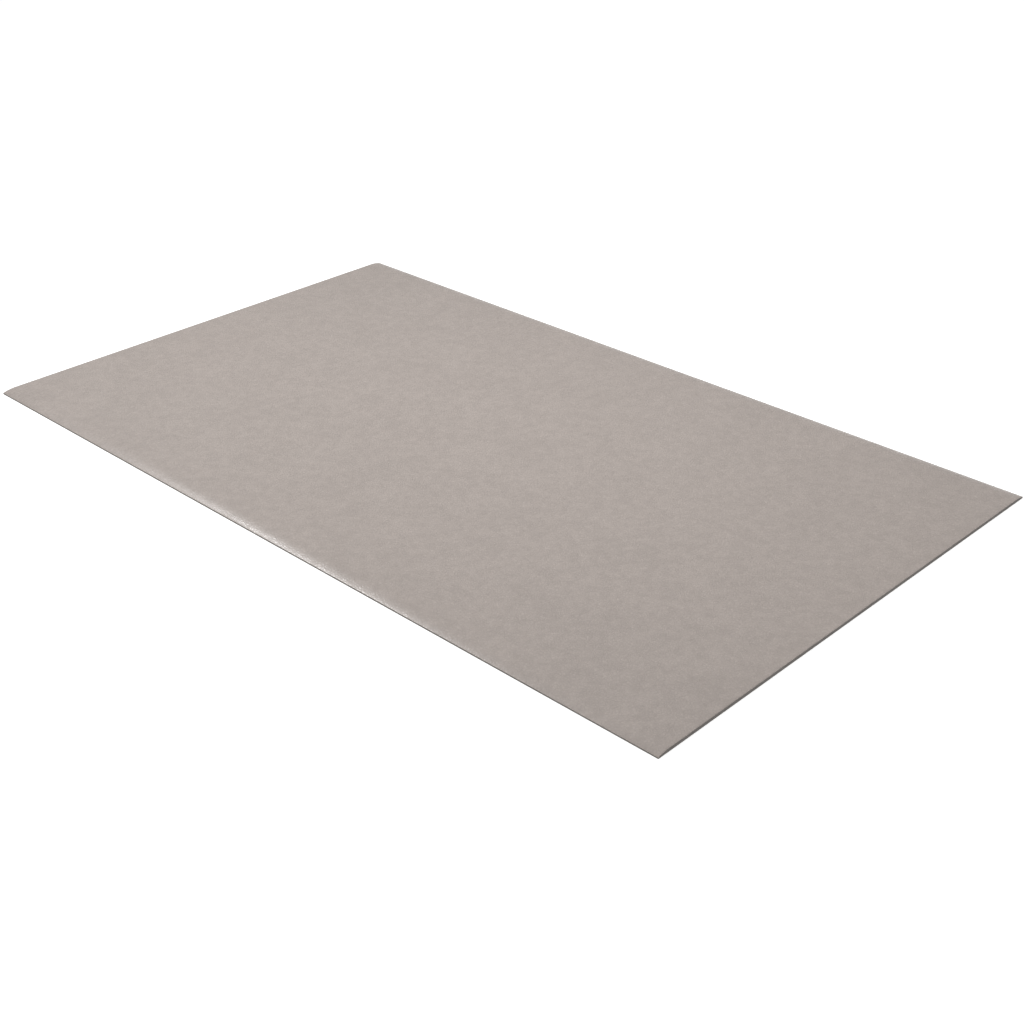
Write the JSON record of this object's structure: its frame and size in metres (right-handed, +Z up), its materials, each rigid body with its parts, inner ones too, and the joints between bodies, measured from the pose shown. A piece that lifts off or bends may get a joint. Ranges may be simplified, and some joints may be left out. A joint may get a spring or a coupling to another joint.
{
  "type": "anti-static floor mat",
  "caption": "Rectangular grey vinyl sponge floor mat with a fine pebble grain on top, tapered long sides and square-cut ends.",
  "frame": {"origin": "middle of the underside, on the floor", "axes": "+X along the length, +Y across the width towards one tapered side, +Z up out of the grained face"},
  "size_m": [1.524, 0.9144, 0.0063],
  "materials": {
    "grey_vinyl": "matte, fine pebble grain"
  },
  "bodies": {
    "root": {"floor_mat": "grey_vinyl"}
  },
  "joints": []
}
